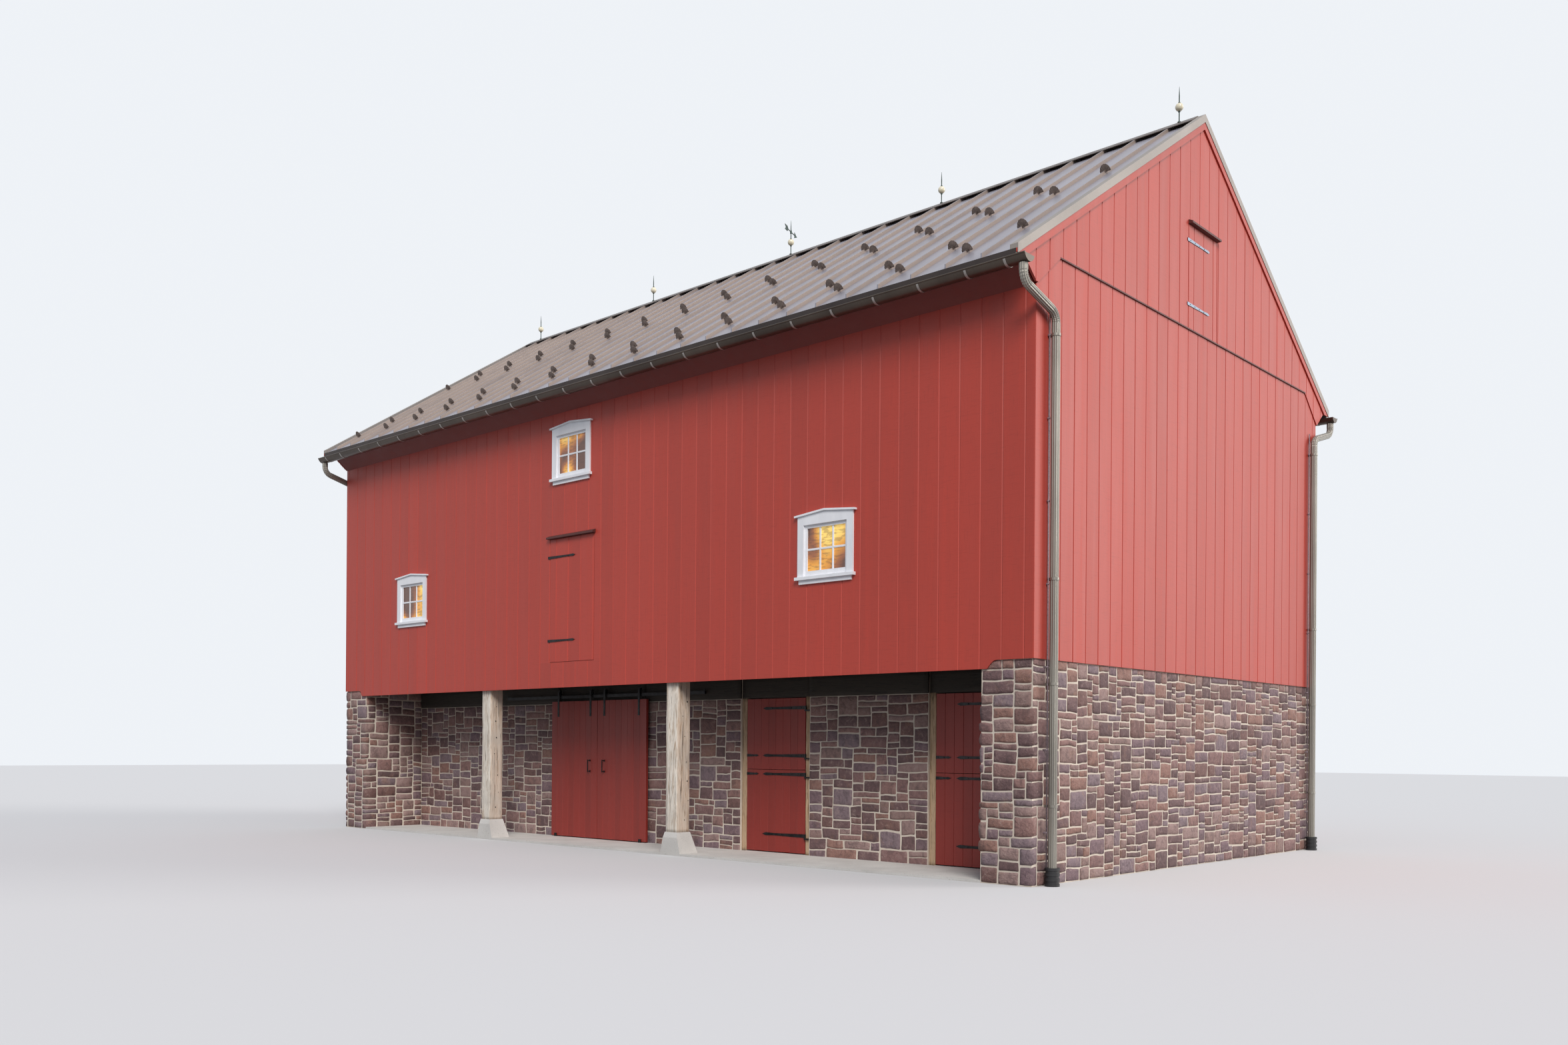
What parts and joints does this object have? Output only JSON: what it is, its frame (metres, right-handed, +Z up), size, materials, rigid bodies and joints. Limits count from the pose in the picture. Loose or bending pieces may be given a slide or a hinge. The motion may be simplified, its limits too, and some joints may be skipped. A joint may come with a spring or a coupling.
{
  "type": "barn",
  "caption": "Traditional red board barn over a stone storey, with a post-carried forebay, sliding and divided doors and a standing-seam gable roof.",
  "frame": {"origin": "middle of the plan at ground level, the underside of the walls", "axes": "+X to the right as seen facing the front, +Y from the front to the rear, +Z up"},
  "size_m": [15.574, 9.544, 10.9081],
  "materials": {
    "concrete": "cast concrete, matt",
    "rubble_stone": "squared rubble with raised cream mortar",
    "weathered_timber": "weathered hewn timber",
    "sawn_timber": "rough sawn timber",
    "red_boards": "matt barn red paint on vertical boards",
    "red_door_boards": "matt dark red paint on vertical boards",
    "black_iron": "black painted iron",
    "white_trim": "white painted joinery",
    "window_glass": "clear window glass",
    "roof_metal": "satin pewter-brown standing seam sheet",
    "beige_metal": "satin light beige sheet",
    "gutter_metal": "satin pewter sheet",
    "bracket_metal": "light grey strap",
    "black_plastic": "black corrugated plastic",
    "rod_metal": "weathered copper green-grey",
    "ball_glass": "milk glass"
  },
  "bodies": {
    "barn": {"ground_slab": "concrete", "right_stone_wall": "rubble_stone", "left_stone_wall": "rubble_stone", "rear_stone_wall": "rubble_stone", "front_stone_wall": "rubble_stone", "door_frames": "weathered_timber", "dutch_door_pintles": "black_iron", "sliding_door_track": "black_iron", "forebay_posts": "weathered_timber", "post_footings": "concrete", "forebay_beam": "sawn_timber", "upper_floor": "sawn_timber", "front_siding": "red_boards", "rear_siding": "red_boards", "lower_gables": "red_boards", "upper_gables": "red_boards", "board_hatches": "red_boards", "hatch_hinges": "black_iron", "drip_caps": "red_boards", "window_frames": "white_trim", "window_glass": "window_glass", "cornices": "red_boards", "front_roof": "roof_metal", "rear_roof": "roof_metal", "ridge_cap": "roof_metal", "rake_boards": "red_boards", "rake_trims": "beige_metal", "gutters": "gutter_metal", "gutter_brackets": "bracket_metal", "downspouts": "gutter_metal", "downspout_boots": "black_plastic", "snow_guards": "roof_metal", "lightning_rods": "rod_metal", "glass_balls": "ball_glass"},
    "left_sliding_leaf": {"left_sliding_door": "red_door_boards", "left_sliding_hardware": "black_iron"},
    "right_sliding_leaf": {"right_sliding_door": "red_door_boards", "right_sliding_hardware": "black_iron"},
    "left_upper_leaf": {"left_dutch_upper": "red_door_boards", "left_upper_straps": "black_iron"},
    "left_lower_leaf": {"left_dutch_lower": "red_door_boards", "left_lower_straps": "black_iron"},
    "right_upper_leaf": {"right_dutch_upper": "red_door_boards", "right_upper_straps": "black_iron"},
    "right_lower_leaf": {"right_dutch_lower": "red_door_boards", "right_lower_straps": "black_iron"},
    "wind_arrow": {"weathervane": "rod_metal"}
  },
  "joints": [
    {"name": "left_sliding_leaf_slide", "type": "slide", "parent": "barn", "child": "left_sliding_leaf", "axis": [-1, 0, 0], "range_m": [0, 1.2]},
    {"name": "right_sliding_leaf_slide", "type": "slide", "parent": "barn", "child": "right_sliding_leaf", "axis": [1, 0, 0], "range_m": [0, 1.2]},
    {"name": "left_upper_leaf_hinge", "type": "hinge", "parent": "barn", "child": "left_upper_leaf", "pos_m": [3.091, -3.026, 0], "axis": [0, 0, 1], "range_deg": [0, 165]},
    {"name": "left_lower_leaf_hinge", "type": "hinge", "parent": "barn", "child": "left_lower_leaf", "pos_m": [3.091, -3.026, 0], "axis": [0, 0, 1], "range_deg": [0, 165]},
    {"name": "right_upper_leaf_hinge", "type": "hinge", "parent": "barn", "child": "right_upper_leaf", "pos_m": [6.552, -3.026, 0], "axis": [0, 0, 1], "range_deg": [0, 100]},
    {"name": "right_lower_leaf_hinge", "type": "hinge", "parent": "barn", "child": "right_lower_leaf", "pos_m": [6.552, -3.026, 0], "axis": [0, 0, 1], "range_deg": [0, 100]},
    {"name": "wind_arrow_turn", "type": "hinge", "parent": "barn", "child": "wind_arrow", "pos_m": [0, 0, 10.7], "axis": [0, 0, 1], "continuous": true}
  ]
}
